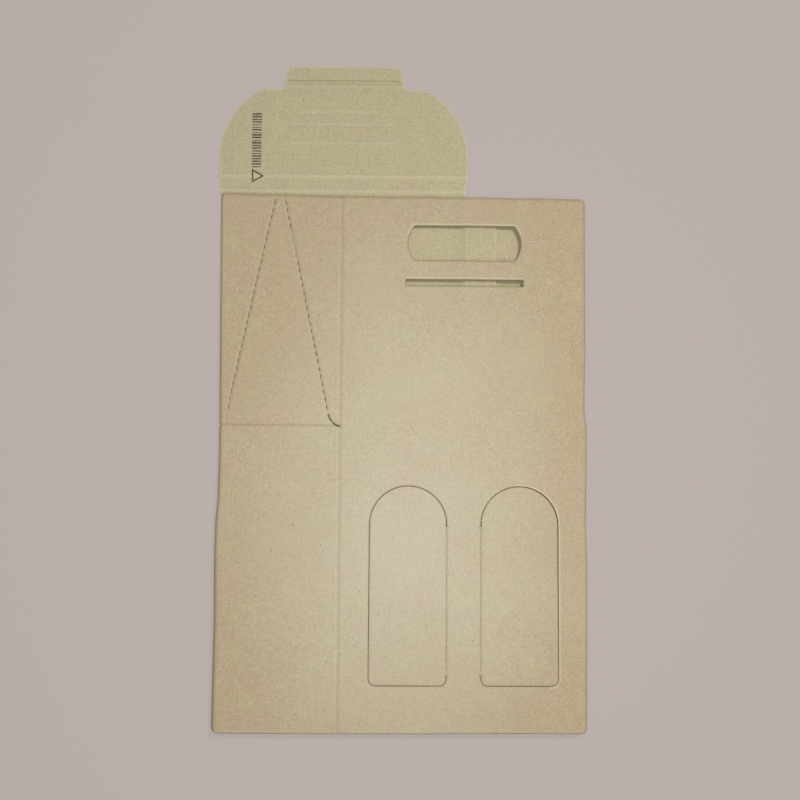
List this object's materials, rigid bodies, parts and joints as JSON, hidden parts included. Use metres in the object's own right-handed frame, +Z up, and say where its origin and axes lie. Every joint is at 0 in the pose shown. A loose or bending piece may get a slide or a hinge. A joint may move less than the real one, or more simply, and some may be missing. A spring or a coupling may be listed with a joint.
{
  "type": "folded flat cardboard gift box for two bottles",
  "caption": "Flat-folded corrugated gift box for bottles, with a hand hole, a tuck slot, arched window flaps, perforated side gussets and an open lid with a tuck tab.",
  "frame": {"origin": "under the middle of the whole outline, on the surface that the folded box lies on", "axes": "+X to the right of the front panel, +Y from the bottom fold towards the lid, +Z up, out of the front panel"},
  "size_m": [0.2718, 0.4894, 0.0086],
  "materials": {
    "kraft_outside": "matt",
    "kraft_inside": "matt"
  },
  "bodies": {
    "folded_tube": {"box_body": "kraft_outside"},
    "spine": {"lid_spine": "kraft_inside"},
    "lid": {"lid_panel": "kraft_inside"},
    "tab": {"tuck_tab": "kraft_inside"},
    "left_window": {"window_flap_left": "kraft_outside"},
    "right_window": {"window_flap_right": "kraft_outside"}
  },
  "joints": [
    {"name": "spine_fold", "type": "hinge", "parent": "folded_tube", "child": "spine", "pos_m": [-0.04342, 0.15005, 0.0015], "axis": [1, 0, 0], "range_deg": [0, 90]},
    {"name": "lid_fold", "type": "hinge", "parent": "spine", "child": "lid", "pos_m": [-0.04342, 0.16165, 0.0015], "axis": [1, 0, 0], "range_deg": [0, 80]},
    {"name": "tab_fold", "type": "hinge", "parent": "lid", "child": "tab", "pos_m": [-0.04342, 0.23035, 0.0015], "axis": [1, 0, 0], "range_deg": [0, 90]},
    {"name": "left_window_fold", "type": "hinge", "parent": "folded_tube", "child": "left_window", "pos_m": [0.03422, -0.14464, 0.00763], "axis": [0, 1, -0.0097], "range_deg": [0, 100]},
    {"name": "right_window_fold", "type": "hinge", "parent": "folded_tube", "child": "right_window", "pos_m": [0.05903, -0.14464, 0.00763], "axis": [0, -1, 0.0097], "range_deg": [0, 100]}
  ]
}
